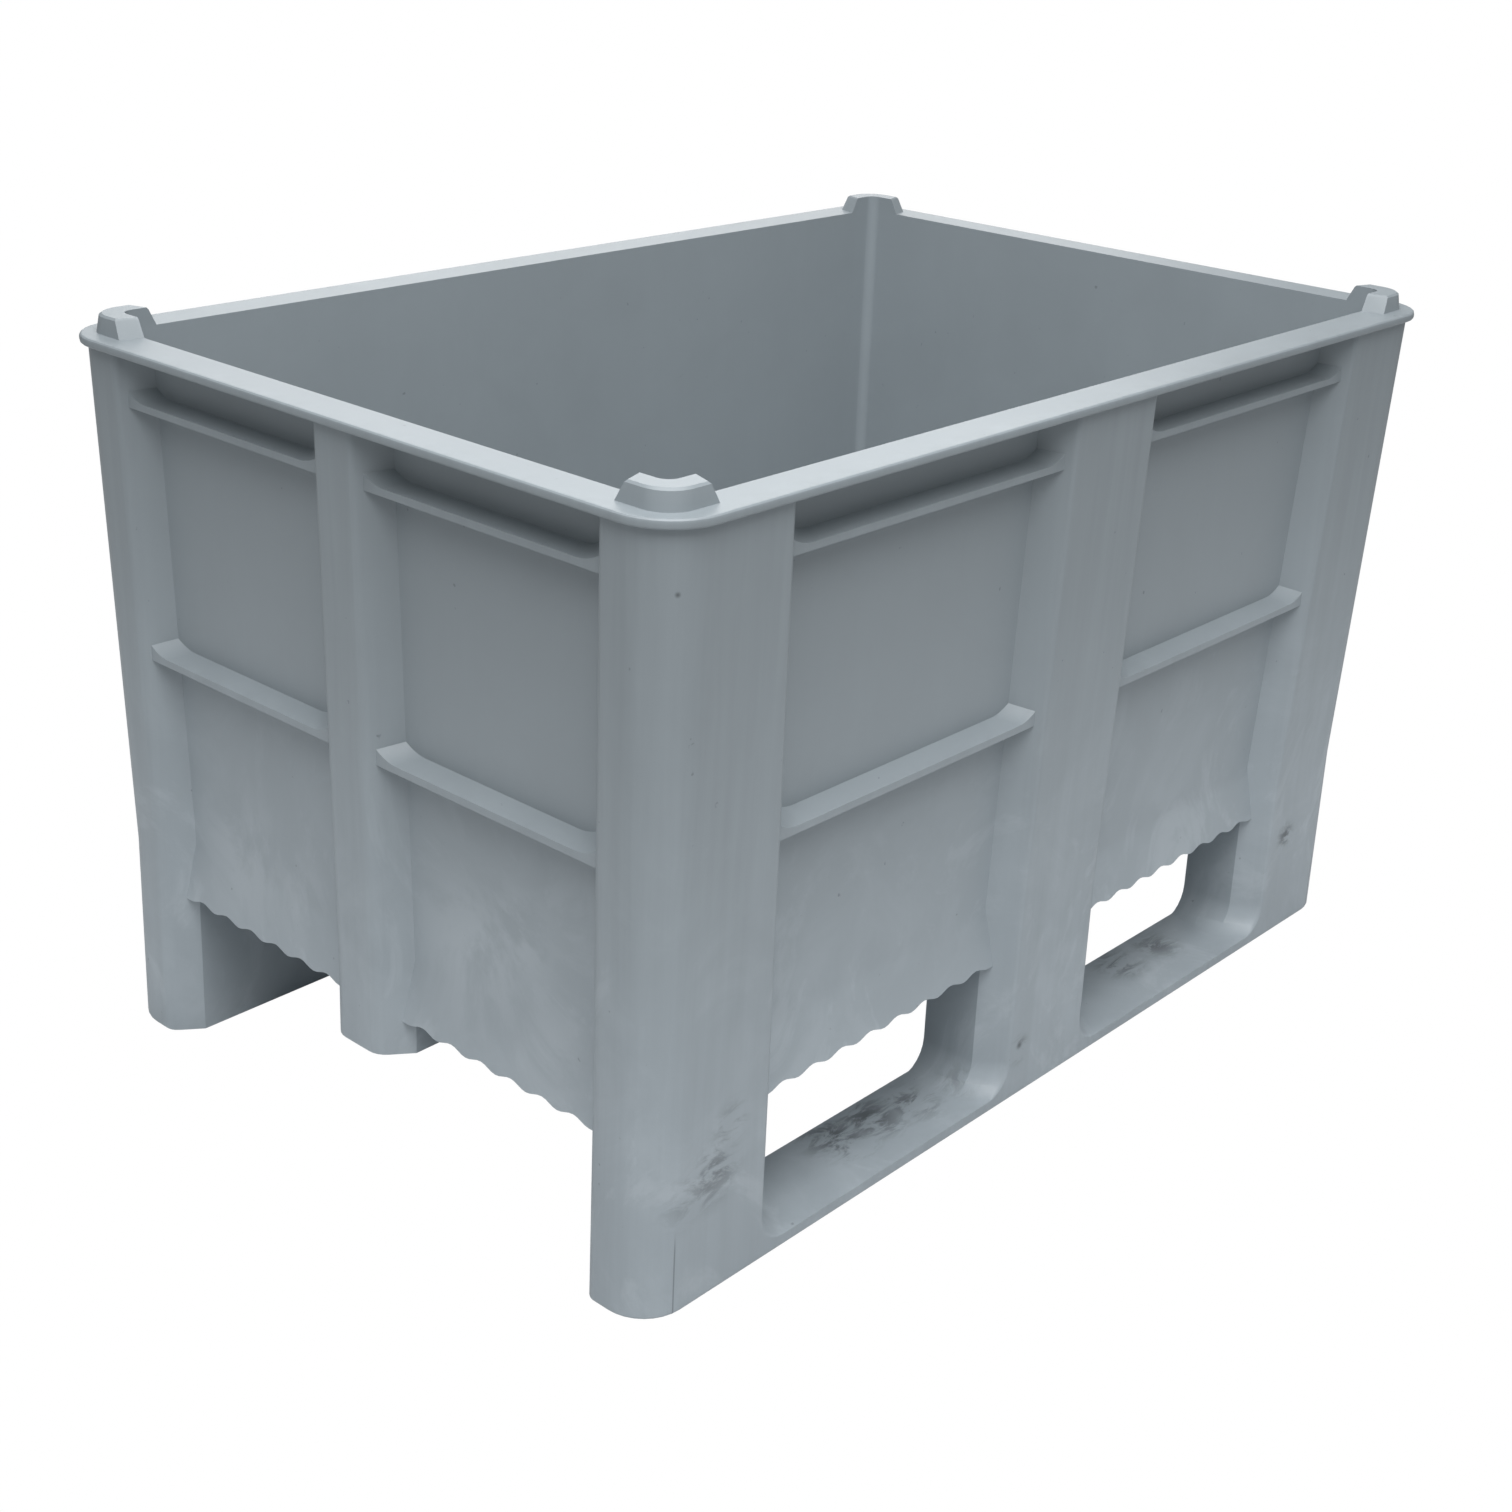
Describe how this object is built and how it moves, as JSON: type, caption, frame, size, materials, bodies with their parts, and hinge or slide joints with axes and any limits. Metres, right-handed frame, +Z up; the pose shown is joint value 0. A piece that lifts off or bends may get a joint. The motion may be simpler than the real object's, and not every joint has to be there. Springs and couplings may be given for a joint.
{
  "type": "pallet box",
  "caption": "Stackable rigid pallet box with solid ribbed walls, a rim flange with stacking lugs, and windowed runners for fork entry.",
  "frame": {"origin": "bottom centre of the footprint, on the ground", "axes": "+X along the long sides, +Y along the ends, +Z up out of the open top"},
  "size_m": [1.2, 0.8, 0.74],
  "materials": {
    "shell": "satin moulded, lightly scuffed"
  },
  "bodies": {
    "root": {"pallet_box": "shell"}
  },
  "joints": []
}
